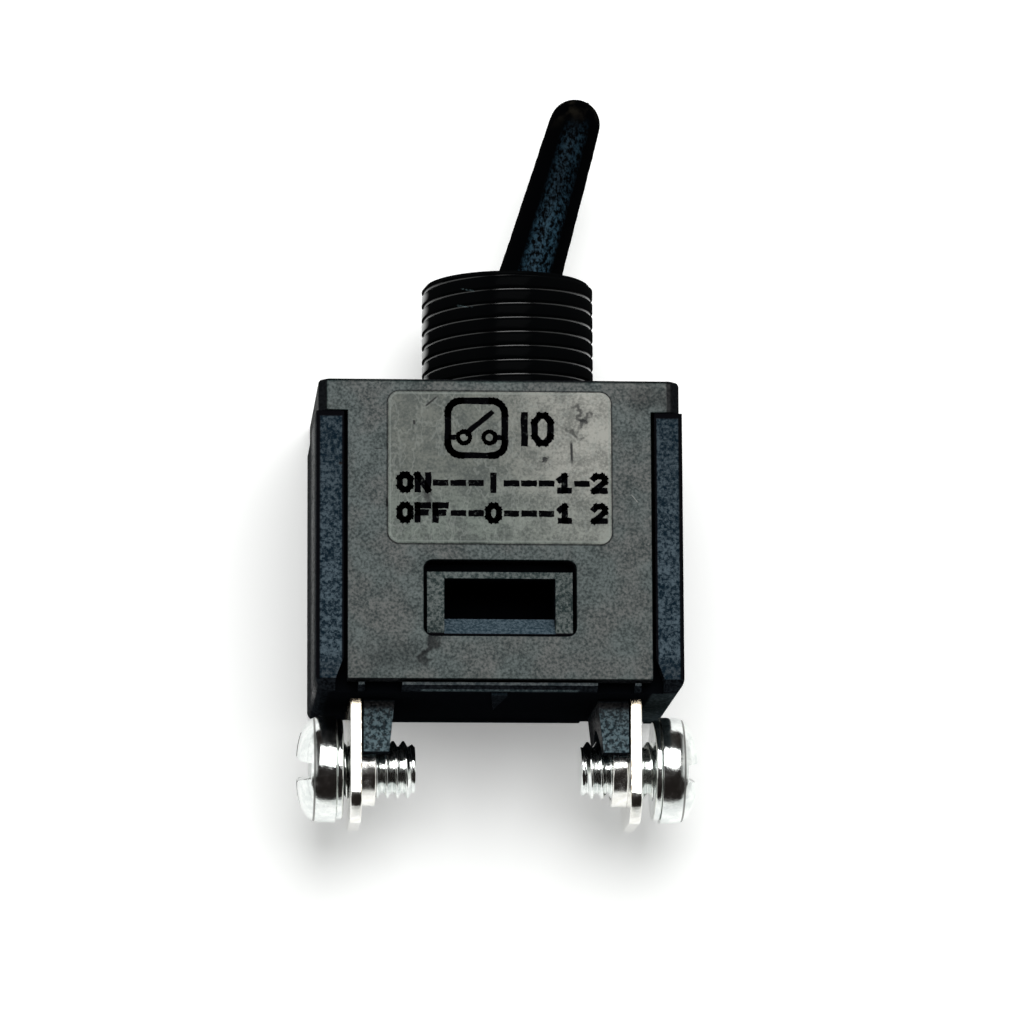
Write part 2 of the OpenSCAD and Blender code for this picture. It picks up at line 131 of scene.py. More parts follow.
def mark(spot, x, y, angle, length, width):
    # a soft stroke that starts at x, y in millimetres and runs along angle
    local = spot.node("Mapping", {"vector_type": "TEXTURE"}, {
        "Vector": spot, "Location": (x * mm, y * mm, 0.0), "Rotation": (0.0, 0.0, math.radians(angle)),
        "Scale": (length * mm, width * mm, 1.0)})
    along = local.node("SeparateXYZ", {}, {"Vector": local}, "X")
    across = abs(local.node("SeparateXYZ", {}, {"Vector": local}, "Y"))
    return ramp(across, 1.0, 0.2) * ramp(along, 0.0, 0.2) * ramp(along, 1.0, 0.7)


def wavy(spot, size, reach):
    # the spot pushed about by noise, so that strokes come out ragged
    drift = spot.node("TexNoise", {}, {"Vector": spot, "Scale": 1.0 / (size * mm), "Detail": 3.0}, "Color")
    shift = drift.node("VectorMath", {"operation": "SUBTRACT"}, {0: drift, 1: (0.5, 0.5, 0.5)})
    push = shift.node("VectorMath", {"operation": "SCALE"}, {0: shift, "Scale": reach * mm})
    return spot.node("VectorMath", {"operation": "ADD"}, {0: spot, 1: push})


def strokes(spot, bent, rows):
    # soft strokes added up; each row is x, y, angle, length, width, weight and whether it is ragged
    total = 0.0
    for x, y, angle, length, width, weight, ragged in rows:
        total = total + mark(bent if ragged else spot, x, y, angle, length, width) * weight
    return total


def height(spot, axis):
    return spot.node("SeparateXYZ", {}, {"Vector": spot}, axis) * (1.0 / mm)


def relief(spot, depth, strength, distance):
    # distance in millimetres
    return spot.node("Bump", {}, {"Strength": strength, "Distance": distance * mm, "Height": depth}, "Normal")


def facing(spot, axis):
    # how far a face of the piece looks along an axis
    normal = spot.node("TexCoord", {}, {}, "Normal")
    return normal.node("SeparateXYZ", {}, {"Vector": normal}, axis)


def larger(first, second):
    return first.node("Math", {"operation": "MAXIMUM"}, {0: first, 1: second})


def span(first, second):
    # length of the third side of a right triangle
    return first.node("Math", {"operation": "SQRT"}, {0: first * first + second * second})


def frameLine(spot, left, right, low, high, corner):
    # distance in millimetres from the edge of a rounded rectangle, negative inside
    overX = abs(height(spot, "X") - (left + right) / 2.0) - ((right - left) / 2.0 - corner)
    overY = abs(height(spot, "Y") - (low + high) / 2.0) - ((high - low) / 2.0 - corner)
    inside = spot.node("Math", {"operation": "MINIMUM"}, {0: larger(overX, overY), 1: 0.0})
    return span(larger(overX, 0.0), larger(overY, 0.0)) + inside - corner


black = (0.003, 0.003, 0.004)
flatFace = (0.75, 0.96)   # a face is front or back when its normal looks this far along Z
labelEdge = (-8.8, 6.5, -11.45, -0.9, 0.8)   # left, right, low, high and corner of the label

# in the looks a single number is a patch size and a pair the limits of a ramp; rag is a size and a reach
coverLook = {
    "blotch": 1.4, "grain": 0.19, "drift": 3.0, "pits": 0.14, "dust": 0.34,
    "dark": (0.018, 0.027, 0.027), "pale": ((0.050, 0.072, 0.069), (0.065, 0.071, 0.066)),
    "seat": ((0.0025, 0.003, 0.0035), (0.0085, 0.0095, 0.011)), "scratch": (0.17, 0.18, 0.17),
    "edgeShadeRight": (10.26, 10.4), "edgeShadeTop": (-0.2, -0.08),
    "rag": (0.7, 1.6), "cut": (7.85, -7.95, -51.0, 0.85, 0.055),
    "smears": [
        (-5.3, -17.5, -118.0, 2.9, 0.5, 1.1, True),
        (-8.35, -6.0, -45.0, 0.5, 0.06, 1.0, False),
        (-10.8, -19.6, 6.0, 5.0, 1.5, 0.4, True),
        # this one is a darker patch over the right end of the plate's top
        (7.4, -1.4, 0.0, 4.4, 1.1, 0.6, True),
        (-9.75, -4.9, 0.0, 0.7, 0.07, 1.0, False),
        (-8.9, -8.3, -88.0, 0.75, 0.1, 1.0, False),
    ],
}


def coverPlastic():
    look = coverLook
    material, shader, spot = startPlastic("cover_plastic", 0.36)
    up = abs(facing(spot, "Z"))
    front = ramp(up, *flatFace)
    blotch = cloud(spot, look["blotch"], 2.0, 0.5)
    fine = cloud(spot, look["grain"], 2.0, 0.6)
    grain = ramp(blotch * 0.25 + fine * 0.75, 0.3, 0.7)
    drift = cloud(spot, look["drift"], 2.0, 0.5)
    shade = tint(grain, look["dark"], tint(ramp(drift, 0.38, 0.62), *look["pale"]))
    dirt = ramp(abs(frameLine(spot, *labelEdge) - 0.03), 0.13, 0.03)   # a dark line along the label's edge
    smear = strokes(spot, wavy(spot, *look["rag"]), look["smears"])
    # painted shade where the face rounds off at its right and top edges
    worn = ramp(height(spot, "X"), *look["edgeShadeRight"]) + ramp(height(spot, "Y"), *look["edgeShadeTop"])
    # the stains together with the painted edge shade, darkened towards black
    stain = larger(dirt * 0.75 + smear * (0.4 + blotch * 0.6), worn * 0.9)
    shade = tint(stain, shade, black)
    cut = mark(spot, *look["cut"])
    dust = ramp(cloud(spot, look["dust"], 1.0), 0.76, 0.82)
    shade = tint(dust * 0.3 + cut * 0.9, shade, look["scratch"])
    # faces that don't look along Z get the far darker seat colour: painted shade, lit and shaded copies of
    # one plastic
    tint(front, tint(grain, *look["seat"]), shade).into(shader, "Base Color")
    (0.5 + 0.2 * fine).into(shader, "Roughness")
    # satin on the face, duller elsewhere
    sheen = front * (0.15 + grain * 0.48) * (1.0 - stain * 0.8)
    upright = ramp(abs(up - 0.7), 0.12, 0.4) * (1.0 - front)
    (sheen + upright * (0.06 + grain * 0.24)).into(shader, "Coat Weight")
    relief(spot, fine + cloud(spot, look["pits"]) * 0.4 - cut * 0.8, 0.5, 0.014).into(shader, "Normal")
    return material


threadLook = {
    "grain": 0.3, "chips": 0.25, "plastic": (0.0012, 0.0014, 0.0016), "scuffed": (0.09, 0.13, 0.14),
    "root": (5.87, 5.82), "end": (7.95, 7.85), "left": (-0.93, -0.985),
    "scuffs": [
        (-3.6, 7.12, -14.0, 1.1, 0.06, 1.0, False),
        (-3.9, 6.0, -12.0, 1.3, 0.07, 1.0, False),
    ],
}


def bushingPlastic():
    # the same plastic, polished in the roots of the thread
    look = threadLook
    material, shader, spot = startPlastic("cover_plastic_thread", 0.17)
    x, y, z = [height(spot, axis) for axis in "XYZ"]
    root = ramp(span(x, z), *look["root"]) * ramp(y, *look["end"])
    left = ramp(facing(spot, "X"), *look["left"])
    fine = cloud(spot, look["grain"], 3.0, 0.6)
    scuff = strokes(spot, spot, look["scuffs"])
    scuff = scuff * ramp(cloud(spot, look["chips"], 2.0, 0.6), 0.45, 0.6) * ramp(z, 0.0, 1.0)
    tint(scuff * 0.7, look["plastic"], look["scuffed"]).into(shader, "Base Color")
    (0.5 + 0.2 * fine).into(shader, "Roughness")
    (larger(root * (0.7 + fine * 0.4), left * 0.95) + 0.008).into(shader, "Coat Weight")
    relief(spot, fine, 0.3, 0.02).into(shader, "Normal")
    return material


baseLook = {
    "grain": 0.2, "patch": 1.6, "pits": 0.14, "flake": 0.3, "streak": 1.2,
    "dark": (0.004, 0.011, 0.018), "rail": ((0.025, 0.044, 0.058), (0.046, 0.074, 0.094)),
    "bar": ((0.020, 0.030, 0.030), (0.070, 0.088, 0.084)),
    "lip": ((0.024, 0.032, 0.036), (0.070, 0.082, 0.086)),
    "foot": ((0.007, 0.015, 0.020), (0.098, 0.145, 0.164)),
    "slope": ((0.020, 0.036, 0.048), (0.080, 0.112, 0.136)),
    "outer": ((0.0025, 0.003, 0.004), (0.0115, 0.0145, 0.018)),
    "end": ((0.02, 0.03, 0.034), (0.07, 0.09, 0.098)),
    "legs": (-21.6, -21.8), "legRoots": (-22.5, -22.0), "deep": (7.5, 6.9), "walls": (11.9, 11.5),
    "railFade": (-4.0, -14.5), "railFoot": (-18.8, -20.4), "edge": (12.22, 12.34),
    "windowSide": (5.4, 5.1), "windowTall": (2.7, 2.5), "lipTall": (0.16, 0.1), "lipSide": (10.6, 10.4),
    "gapOuter": (10.85, 10.74), "gapInner": (10.4, 10.6), "gapTop": (-2.75, -2.6), "gapLow": (-17.5, -17.6),
    "slopeTop": (-16.0, -16.3), "slopeFoot": (-17.55, -17.63), "endSide": (9.2, 9.5), "endDeep": (7.2, 6.8),
    "edgeGlintTall": (0.07, 0.03), "edgeGlintSide": (5.5, 5.2), "edgeGlintDeep": (7.3, 7.5),
    "bandLow": (-3.0, 2.4), "bandHigh": (7.4, 3.4),
    "places": {"window": -15.2, "lip": -21.05, "crease": -21.46},
    "nick": (-12.2, -5.95, 0.0, 0.5, 0.16),
}


def basePlastic():
    look = baseLook
    places = look["places"]
    material, shader, spot = startPlastic("base_plastic", 0.32)
    x, y, z = [height(spot, axis) for axis in "XYZ"]
    side = abs(x - bodyMiddle)
    up = abs(facing(spot, "Z"))
    leg = ramp(y, *look["legs"])
    # painted shade in the depths of the windows, which lose the front colour and grain below
    inside = ramp(abs(z), *look["deep"]) * ramp(side, *look["walls"]) * (1.0 - leg)
    front = ramp(up, *flatFace) * (1.0 - inside)
    fine = cloud(spot, look["grain"], 2.0, 0.65)
    patch = cloud(spot, look["patch"], 2.0, 0.5)
    grain = ramp(fine * 0.8 + patch * 0.2, 0.37, 0.66)
    # rails, paler lower down and dark at the foot
    rail = tint(ramp(y, *look["railFade"]), *look["rail"])
    shade = tint(grain, look["dark"], tint(ramp(y, *look["railFoot"]) * 0.5, rail, black))
    # bars of the catch, and a painted highlight on the lip under the panel
    window = ramp(side, *look["windowSide"]) * ramp(abs(y - places["window"]), *look["windowTall"])
    bar = window * ramp(up, *flatFace)
    shade = tint(bar, shade, tint(grain, *look["bar"]))
    lip = ramp(abs(y - places["lip"]), *look["lipTall"]) * ramp(side, *look["lipSide"])
    shade = tint(lip, shade, tint(grain, *look["lip"]))
    # painted shadow beside the panels and at the window's foot, and painted shade along the rails' outer edge
    gap = ramp(side, *look["gapOuter"]) * ramp(side, *look["gapInner"])
    gap = larger(larger(ramp(y, *look["gapTop"]), gap), window * ramp(y, *look["gapLow"]))
    edge = ramp(side, *look["edge"])
    nick = mark(spot, *look["nick"])
    shade = tint(larger(larger(gap, edge), nick) * (1.0 - leg), shade, black)
    # coarser on the legs, with a painted shadow at their roots under the lip
    foot = tint(ramp(cloud(spot, look["flake"], 3.0, 0.65), 0.42, 0.60), *look["foot"])
    shade = tint(leg, shade, tint(ramp(y, *look["legRoots"]), foot, black))
    # ramp of the catch painted paler, a painted light, with a painted shadow at its foot
    slope = ramp(abs(up - 0.65), 0.12, 0.08) * window * ramp(y, *look["slopeTop"])
    streak = cloud(turned(spot, 0.0, (1.0, 6.0, 1.0)), look["streak"], 3.0, 0.6) * 0.25 + fine * 0.75
    shade = tint(slope, shade, tint(ramp(streak, 0.36, 0.66), *look["slope"]))
    shade = tint(ramp(y, *look["slopeFoot"]) * window, shade, black)
    # the other faces, with a painted reflection at the lower right end of the bottom and a painted highlight
    # on the edge line under the window
    end = ramp(facing(spot, "Y"), -0.5, -0.8) * ramp(x, *look["endSide"]) * ramp(abs(z), *look["endDeep"])
    crease = ramp(abs(y - places["crease"]), *look["edgeGlintTall"]) * ramp(side, *look["edgeGlintSide"])
    end = larger(end * 0.5, crease * ramp(abs(z), *look["edgeGlintDeep"]))
    # faces that are neither front nor back get the far darker outer colour: painted shade, lit and shaded
    # copies of one plastic
    outer = tint(grain * (1.0 - inside), *look["outer"])
    dark = tint(end, outer, tint(grain, *look["end"]))
    tint(larger(front, slope), dark, shade).into(shader, "Base Color")
    (0.5 + 0.2 * fine).into(shader, "Roughness")
    # side walls rubbed brighter in the middle
    wall = ramp(abs(facing(spot, "X")), 0.7, 0.95) * (1.0 - inside)
    band = ramp(z, *look["bandLow"]) * ramp(z, *look["bandHigh"])
    rubbed = wall * (0.03 + grain * 0.06 + band * (0.1 + grain * 0.4))
    clear = (1.0 - larger(gap, edge)) * front
    (clear * grain * (0.18 + window * 0.2) + rubbed).into(shader, "Coat Weight")
    relief(spot, fine + cloud(spot, look["pits"]) * 0.4, 0.5, 0.03).into(shader, "Normal")
    return material


leverLook = {
    "grain": 0.21, "pits": 0.12, "rub": 1.2, "stretch": (1.0, 0.62, 1.0),
    "plastic": ((0.0005, 0.0006, 0.0008), (0.017, 0.045, 0.068)), "rubbed": (0.016, 0.014, 0.010),
    "band": (0.82, 0.97), "tipFade": (20.4, 18.4), "middleFade": (15.4, 12.2), "rubFrom": (19.3, 21.4),
}


def leverPlastic():
    look = leverLook
    material, shader, spot = startPlastic("lever_plastic", 0.4)
    y = height(spot, "Y")
    # a painted highlight: paler along the front, a little to the right, and less towards the tip
    fade = ramp(y, *look["tipFade"]) * 0.45 + ramp(y, *look["middleFade"]) * 0.55
    toward = abs(facing(spot, "Z")) * 0.99 + facing(spot, "X") * 0.1
    paintedHighlight = ramp(toward, *look["band"]) * fade
    fine = cloud(turned(spot, 0.0, look["stretch"]), look["grain"], 2.0, 0.65)
    grain = ramp(fine, 0.38, 0.70)
    shade = tint(paintedHighlight * grain, *look["plastic"])
    rub = ramp(cloud(spot, look["rub"], 3.0), 0.46, 0.7) * ramp(y, *look["rubFrom"])
    tint(rub * 0.6, shade, look["rubbed"]).into(shader, "Base Color")
    (0.5 + 0.2 * fine).into(shader, "Roughness")
    (0.006 + paintedHighlight * grain * (1.0 - rub) * 0.08).into(shader, "Coat Weight")
    relief(spot, fine + cloud(spot, look["pits"]) * 0.5, 0.6, 0.035).into(shader, "Normal")
    return material


labelLook = {
    "mottle": 1.5, "grain": 0.2, "crease": 1.5, "creaseTurn": -25.0, "creaseStretch": (1.0, 0.6, 1.0),
    "dark": (0.034, 0.045, 0.039), "pale": ((0.115, 0.125, 0.108), (0.128, 0.152, 0.132)),
    "paleRight": ((0.12, 0.125, 0.11), (0.31, 0.31, 0.28)), "creased": (0.24, 0.26, 0.24),
    "rim": (0.24, 0.27, 0.25), "dirt": (0.012, 0.013, 0.013),
    "lower": (-5.0, -10.5), "upper": (-10.0, -5.5), "right": (-1.5, 7.0), "rag": (0.6, 1.5),
    "stains": [
        (5.2, -2.2, -128.0, 1.9, 0.3, 1.0, True),
        (4.0, -1.7, -60.0, 1.6, 0.28, 1.0, True),
        (3.75, -4.2, -88.0, 1.9, 0.13, 1.5, False),
        (3.2, -3.3, -30.0, 1.5, 0.24, 1.0, True),
        (-6.3, -2.0, 40.0, 1.3, 0.09, 1.8, False),
        (-7.05, -2.9, -80.0, 0.4, 0.12, 1.8, False),
        (-6.4, -7.6, -75.0, 1.8, 0.4, 1.0, True),
        (1.45, -5.55, -15.0, 0.9, 0.24, 1.5, True),
    ],
}


def labelFilm():
    look = labelLook
    material, shader, spot = startMaterial("label_film", {"Specular IOR Level": 0.3})
    x, y = [height(spot, axis) for axis in "XY"]
    mottle = cloud(spot, look["mottle"], 4.0, 0.65)
    fine = cloud(spot, look["grain"], 2.0, 0.6)
    folds = cloud(turned(spot, look["creaseTurn"], look["creaseStretch"]), look["crease"], 3.0, 0.6)
    crease = ramp(abs(folds - 0.5), 0.03, 0.0)
    grain = ramp(mottle * 0.6 + fine * 0.4, 0.36, 0.62)
    shade = tint(grain, look["dark"], tint(ramp(y, *look["lower"]), *look["pale"]))
    # paler to the right, most towards the top
    paleRight = ramp(x + mottle * 3.0, *look["right"]) * (0.45 + ramp(y, *look["upper"]) * 0.55)
    shade = tint(paleRight, shade, tint(grain, *look["paleRight"]))
    shade = tint(crease * 0.3, shade, look["creased"])
    # a painted highlight along the inside of the label's edge
    rim = ramp(abs(frameLine(spot, *labelEdge) + 0.13), 0.1, 0.03)
    shade = tint(rim * 0.35, shade, look["rim"])
    stain = strokes(spot, wavy(spot, *look["rag"]), look["stains"])
    tint(stain * (0.2 + mottle * 1.6) * 0.8, shade, look["dirt"]).into(shader, "Base Color")
    (0.40 + mottle * 0.2 + stain * 0.1).into(shader, "Roughness")
    relief(spot, mottle + fine * 0.4 + crease * 0.5 - stain * 0.4, 0.35, 0.02).into(shader, "Normal")
    return material


inkLook = {"wear": 0.3, "ink": (0.0015, 0.0015, 0.002), "worn": (0.05, 0.056, 0.052)}


def printInk():
    look = inkLook
    material, shader, spot = startMaterial("print_ink", {"Specular IOR Level": 0.0})
    wear = ramp(cloud(spot, look["wear"], 3.0, 0.7), 0.6, 0.7)
    tint(wear * 0.6, look["ink"], look["worn"]).into(shader, "Base Color")
    (0.5 + 0.2 * wear).into(shader, "Roughness")
    return material


steelLook = {
    "mottle": 0.9, "grain": 0.18, "plating": ((0.70, 0.73, 0.72), (0.88, 0.90, 0.88)),
    "slotTone": (0.10, 0.095, 0.09), "slotFloors": (-13.57, 11.92), "slotDepth": (0.10, 0.04),
}


def platedSteel():
    look = steelLook
    material, shader, spot = startMaterial("plated_steel", {"Metallic": 1.0})
    mottle = cloud(spot, look["mottle"], 4.0, 0.65)
    fine = cloud(spot, look["grain"], 2.0)
    shade = tint(ramp(mottle, 0.36, 0.66), *look["plating"])
    # darker and rougher on the floors of the slots
    deep = larger(*[ramp(abs(height(spot, "X") - x), *look["slotDepth"]) for x in look["slotFloors"]])
    tint(deep * 0.8, shade, look["slotTone"]).into(shader, "Base Color")
    (0.09 + ramp(mottle, 0.4, 0.75) * 0.12 + fine * 0.05 + deep * 0.2).into(shader, "Roughness")
    relief(spot, mottle + fine * 0.5, 0.34, 0.03).into(shader, "Normal")
    return material


brassLook = {
    "mottle": 0.8, "grain": 0.15, "chips": 0.4, "plating": ((0.80, 0.79, 0.75), (0.93, 0.925, 0.90)),
    "bare": (0.80, 0.58, 0.26), "bareFrom": (-22.4, -20.6),
    "burr": (0.20, 0.13, 0.04), "burrWide": (0.12, 0.02), "tabEdges": (-10.4, 8.1),
}


def platedBrass():
    look = brassLook
    material, shader, spot = startMaterial("plated_brass", {"Metallic": 1.0})
    mottle = cloud(spot, look["mottle"], 4.0, 0.6)
    fine = cloud(spot, look["grain"], 2.0)
    shade = tint(ramp(mottle, 0.36, 0.66), *look["plating"])
    # worn to the brass beside the body
    bare = ramp(height(spot, "Y") + mottle * 1.2, *look["bareFrom"])
    shade = tint(bare * 0.6, shade, look["bare"])
    # sheared edge
    burr = larger(*[ramp(abs(height(spot, "X") - x), *look["burrWide"]) for x in look["tabEdges"]])
    burr = burr * ramp(facing(spot, "Z"), 0.5, 0.9) * ramp(cloud(spot, look["chips"], 2.0, 0.6), 0.46, 0.54)
    tint(burr * 0.85, shade, look["burr"]).into(shader, "Base Color")
    (0.12 + ramp(mottle, 0.4, 0.75) * 0.14 + fine * 0.05).into(shader, "Roughness")
    relief(spot, mottle + fine * 0.4, 0.28, 0.03).into(shader, "Normal")
    return material


def plainMetal(name, dark, light, rough):
    material, shader, spot = startMaterial(name, {"Metallic": 1.0})
    mottle = cloud(spot, 0.7, 3.0, 0.6)
    draw = cloud(turned(spot, 0.0, (1.0, 14.0, 14.0)), 1.4, 2.0)
    tint(ramp(mottle, 0.35, 0.68), dark, light).into(shader, "Base Color")
    (rough + mottle * 0.12 + draw * 0.06).into(shader, "Roughness")
    relief(spot, draw + mottle * 0.4, 0.2, 0.015).into(shader, "Normal")
    return material


def nylon():
    material, shader, spot = startMaterial("natural_nylon", {"Specular IOR Level": 0.4})
    mottle = cloud(spot, 0.8, 3.0, 0.6)
    tint(ramp(mottle, 0.35, 0.68), (0.60, 0.56, 0.46), (0.76, 0.73, 0.64)).into(shader, "Base Color")
    (0.36 + mottle * 0.14).into(shader, "Roughness")
    relief(spot, mottle + cloud(spot, 0.15) * 0.4, 0.2, 0.02).into(shader, "Normal")
    return material


materials = {
    "cover_plastic": coverPlastic(),
    "base_plastic": basePlastic(),
    "lever_plastic": leverPlastic(),
    "label_film": labelFilm(),
    "plated_steel": platedSteel(),
    "plated_brass": platedBrass(),
    "pin_steel": plainMetal("pin_steel", (0.45, 0.45, 0.46), (0.66, 0.66, 0.67), 0.2),
    "spring_steel": plainMetal("spring_steel", (0.40, 0.40, 0.41), (0.60, 0.60, 0.61), 0.26),
    "natural_nylon": nylon(),
    "copper_strip": plainMetal("copper_strip", (0.62, 0.33, 0.17), (0.83, 0.52, 0.31), 0.24),
    "contact_silver": plainMetal("contact_silver", (0.72, 0.71, 0.68), (0.90, 0.89, 0.86), 0.22),
}
ink = printInk()
polished = bushingPlastic()
print("materials made")


def cadCopy(node):
    # the node's mesh, welded and with its flat faces merged
    mesh = bmesh.new()
    mesh.from_mesh(nodes[node].data)
    bmesh.ops.remove_doubles(mesh, verts=mesh.verts, dist=0.002 * mm)
    bmesh.ops.dissolve_limit(mesh, angle_limit=math.radians(0.3), verts=mesh.verts, edges=mesh.edges)
    return mesh


def roundEdges(mesh, edges, width, segments):
    bmesh.ops.bevel(mesh, geom=edges, offset=width * mm, segments=segments, profile=0.5, affect="EDGES",
                    clamp_overlap=True)


def sharpEdges(mesh, sharper):
    # edges between two faces that meet at more than the given angle
    limit = math.radians(sharper)
    return [edge for edge in mesh.edges if len(edge.link_faces) == 2 and edge.calc_face_angle() > limit]


def softEdges(mesh, width, segments=2):
    roundEdges(mesh, sharpEdges(mesh, 32.0), width, segments)


def roundCorners(mesh, chosen, radius):
    edges = [edge for edge in sharpEdges(mesh, 20.0) if all(chosen(vertex.co / mm) for vertex in edge.verts)]
    roundEdges(mesh, edges, radius, 5)


def addPiece(name, mesh, body, slotName, replaced=(), material=None):
    data = bpy.data.meshes.new(name)
    mesh.to_mesh(data)
    mesh.free()
    for face in data.polygons:
        face.use_smooth = True
    data.set_sharp_from_angle(angle=math.radians(42.0))
    piece = bpy.data.objects.new(name, data)
    bpy.context.scene.collection.objects.link(piece)
    data.materials.append(material or materials[slotName])
    even = piece.modifiers.new("even shading", "WEIGHTED_NORMAL")   # flat faces stay flat beside soft edges
    even.keep_sharp = True
    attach(piece, body)
    if replaced:
        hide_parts(*replaced)
    return piece


def threadSkin(mesh, size, spin):
    # a right-hand helix about local Z from 0 to length, with a root on the +Z side at rootLine
    seg = size["segments"]
    profile = size["profile"]
    count = len(profile)
    toward = spin.to_3x3().inverted() @ Vector((0.0, 0.0, 1.0))
    turn = math.atan2(toward.y, toward.x) / math.tau
    deepest = [share for share, depth in profile if depth == 1.0]
    root = sum(deepest) / len(deepest)
    phase = (size["rootLine"] / size["pitch"] - turn - root) % 1.0
    turns = int(size["length"] / size["pitch"]) + 4
    rows = []
    for step in range(turns * seg + 1):
        angle = math.tau * step / seg
        row = []
        for share, depth in profile:
            rise = size["pitch"] * (step / seg + phase - 2.0 + share)
            z = min(max(rise, 0.0), size["length"])
            limit = size["radius"] - max(0.0, z - size["length"] + size["chamfer"])
            r = min(size["radius"] - size["depth"] * depth, limit)
            row.append(mesh.verts.new(spin @ (Vector((r * math.cos(angle), r * math.sin(angle), z)) * mm)))
        rows.append(row)
    for step in range((turns - 1) * seg):
        for item in range(count):
            nextRow = step if item + 1 < count else step + seg
            nextItem = (item + 1) % count
            corners = (rows[step][item], rows[step + 1][item], rows[nextRow + 1][nextItem],
                       rows[nextRow][nextItem])
            if len({tuple(round(part / mm, 4) for part in corner.co) for corner in corners}) > 2:
                mesh.faces.new(corners)
    loose = [vertex for vertex in mesh.verts if not vertex.link_faces]
    bmesh.ops.delete(mesh, geom=loose, context="VERTS")


def ringFace(mesh, spin, inner, outer, z, segments):
    rows = []
    for step in range(segments):
        angle = math.tau * step / segments
        turn = Vector((math.cos(angle), math.sin(angle), 0.0))
        rise = Vector((0.0, 0.0, z))
        rows.append([mesh.verts.new(spin @ ((turn * r + rise) * mm)) for r in (inner, outer)])
    for step in range(segments):
        first, second = rows[step], rows[(step + 1) % segments]
        mesh.faces.new((first[0], first[1], second[1], second[0]))


def standing(origin, along):
    # a matrix whose local Z runs along the given direction from origin in millimetres
    turn = Vector(along).to_track_quat("Z", "Y").to_matrix().to_4x4()
    return Matrix.Translation(Vector(origin) * mm) @ turn


# thread profiles: share of the pitch and share of the depth
mouldedThread = [(0.0, 0.05), (0.03, 0.0), (0.60, 0.0), (0.63, 0.05),
                 (0.78, 0.94), (0.80, 1.0), (0.86, 1.0), (0.88, 0.94)]
cutThread = [(0.0, 0.06), (0.04, 0.0), (0.16, 0.0), (0.20, 0.06),
             (0.52, 0.94), (0.55, 1.0), (0.65, 1.0), (0.68, 0.94)]

bushing = {"radius": 6.0, "depth": 0.2, "pitch": 1.0, "length": 8.25, "chamfer": 0.28, "rimInside": 5.6,
           "rootLine": 0.95, "segments": 120, "profile": mouldedThread}
cover = {"edge": 0.11, "corner": 0.32, "cornerY": -0.05, "cornerSide": 11.7, "boreReach": 5.3,
         "seatRing": 0.8}


def makeCover():
    mesh = cadCopy("cover")
    # the plain outside of the bushing makes room for the thread
    outside = []
    for face in mesh.faces:
        far = any(math.hypot(v.co.x, v.co.z) > cover["boreReach"] * mm and v.co.y > 0.02 * mm
                  for v in face.verts)
        rim = all(v.co.y > (bushing["length"] - 0.01) * mm for v in face.verts)
        if far and not rim:
            outside.append(face)
    bmesh.ops.delete(mesh, geom=outside, context="FACES")
    roundCorners(mesh, lambda place: place.y > cover["cornerY"] and
                 abs(place.x - bodyMiddle) > cover["cornerSide"], cover["corner"])
    softEdges(mesh, cover["edge"])
    plain = set(mesh.faces)
    spin = standing((0.0, 0.0, 0.0), (0.0, 1.0, 0.0))
    segments = bushing["segments"]
    threadSkin(mesh, bushing, spin)
    rimOutside = bushing["radius"] - bushing["chamfer"]
    ringFace(mesh, spin, bushing["rimInside"], rimOutside, bushing["length"], segments)
    for face in mesh.faces:
        face.material_index = 0 if face in plain else 1
    ringFace(mesh, spin, bushing["radius"] - cover["seatRing"], bushing["radius"] + 0.01, 0.0, segments)
    piece = addPiece("cover_moulding", mesh, "housing", "cover_plastic", ["cover"])
    piece.data.materials.append(polished)


base = {"edge": 0.10, "corner": 0.4, "cornerY": (-21.2, -21.0), "cornerSide": 12.5}


def makeBase():
    mesh = cadCopy("base")
    low, high = base["cornerY"]
    roundCorners(mesh, lambda place: low < place.y < high and
                 abs(place.x - bodyMiddle) > base["cornerSide"], base["corner"])
    softEdges(mesh, base["edge"])
    addPiece("base_moulding", mesh, "housing", "base_plastic", ["base"])


makeCover()
makeBase()
print("body mouldings made")

label = {"corner": 0.8, "foot": 8.5, "film": 0.07, "across": 150, "down": 104,
         "rimShare": 0.45, "rimWide": 0.14, "ripple": 0.016, "waves": 0.5}


def makeLabel():
    mesh = bmesh.new()
    low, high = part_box("rating_label")
    middle = (low + high) / 2.0 / mm
    halfW = (high.x - low.x) / 2.0 / mm
    halfH = (high.y - low.y) / 2.0 / mm
    across, down = label["across"], label["down"]
    grid = []
    for row in range(down + 1):
        line = []
        for column in range(across + 1):
            x = halfW * (2.0 * column / across - 1.0)
            y = halfH * (2.0 * row / down - 1.0)
            # pulls the points outside a rounded corner onto its arc
            overX = max(0.0, abs(x) - halfW + label["corner"])
            overY = max(0.0, abs(y) - halfH + label["corner"])
            over = math.hypot(overX, overY)
            if over > label["corner"]:
                x -= math.copysign(overX * (1.0 - label["corner"] / over), x)
                y -= math.copysign(overY * (1.0 - label["corner"] / over), y)
            edge = min(halfW - abs(x), halfH - abs(y))
            ripple = 0.5 + 0.5 * noise.noise(Vector((x * label["waves"], y * label["waves"], 1.7)))
            z = label["foot"] + label["film"] * min(1.0, label["rimShare"] + edge / label["rimWide"])
            z += label["ripple"] * ripple * min(1.0, edge)
            line.append(mesh.verts.new(Vector((middle.x + x, middle.y + y, z)) * mm))
        grid.append(line)
    for row in range(down):
        for column in range(across):
            mesh.faces.new((grid[row][column], grid[row][column + 1], grid[row + 1][column + 1],
                            grid[row + 1][column]))
    rim = [edge for edge in mesh.edges if edge.is_boundary]
    skirt = bmesh.ops.extrude_edge_only(mesh, edges=rim)
    for item in skirt["geom"]:
        if isinstance(item, bmesh.types.BMVert):
            item.co.z = label["foot"] * mm
    bmesh.ops.remove_doubles(mesh, verts=mesh.verts, dist=0.001 * mm)
    addPiece("rating_label_film", mesh, "housing", "label_film", ["rating_label"])


makeLabel()

